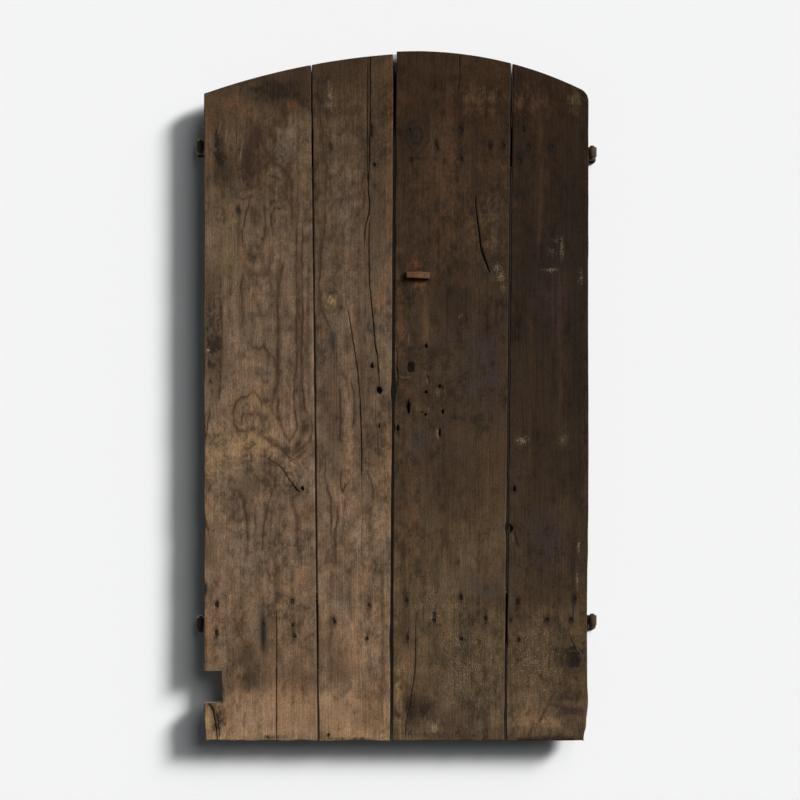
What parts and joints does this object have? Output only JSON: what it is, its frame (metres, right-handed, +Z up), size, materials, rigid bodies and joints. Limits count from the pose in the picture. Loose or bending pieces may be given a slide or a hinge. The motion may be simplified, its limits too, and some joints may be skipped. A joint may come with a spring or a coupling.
{
  "type": "arched wooden door",
  "caption": "Arched pair of weathered plank leaves with nailed ledges, strap hinges on wall pintles, a keyhole and a small stop block.",
  "frame": {"origin": "middle of the assembly's width and depth, at the foot of the boards", "axes": "+Z up the boards, +X to the right seen from the weathered front, +Y from the front towards the wall"},
  "size_m": [1.1732, 0.2, 1.9999],
  "materials": {
    "left_boards": "bare weathered softwood, grey-brown, open raised grain",
    "right_boards": "bare weathered softwood, dark brown, open raised grain",
    "ledges": "bare sawn softwood, aged brown",
    "stop_block": "bare hardwood, worn orange-brown",
    "wrought_iron": "forged iron with dark red-brown rust",
    "nails": "forged iron with dark rust"
  },
  "bodies": {
    "wall_pintles": {"upper_left_pintle": "wrought_iron", "lower_left_pintle": "wrought_iron", "upper_right_pintle": "wrought_iron", "lower_right_pintle": "wrought_iron"},
    "left_leaf": {"left_outer_board": "left_boards", "left_inner_board": "left_boards", "upper_left_ledge": "ledges", "lower_left_ledge": "ledges", "upper_left_ledge_nails": "nails", "lower_left_ledge_nails": "nails", "upper_left_strap": "wrought_iron", "lower_left_strap": "wrought_iron", "upper_left_strap_nails": "nails", "lower_left_strap_nails": "nails"},
    "right_leaf": {"right_inner_board": "right_boards", "right_outer_board": "right_boards", "upper_right_ledge": "ledges", "lower_right_ledge": "ledges", "upper_right_ledge_nails": "nails", "lower_right_ledge_nails": "nails", "upper_right_strap": "wrought_iron", "lower_right_strap": "wrought_iron", "upper_right_strap_nails": "nails", "lower_right_strap_nails": "nails", "stop_block": "stop_block", "stop_block_brads": "nails"}
  },
  "joints": [
    {"name": "left_hinge", "type": "hinge", "parent": "wall_pintles", "child": "left_leaf", "pos_m": [-0.5735, -0.03204, 1], "axis": [0, 0, -1], "range_deg": [0, 120]},
    {"name": "right_hinge", "type": "hinge", "parent": "wall_pintles", "child": "right_leaf", "pos_m": [0.5735, -0.03204, 1], "axis": [0, 0, 1], "range_deg": [0, 120]}
  ]
}
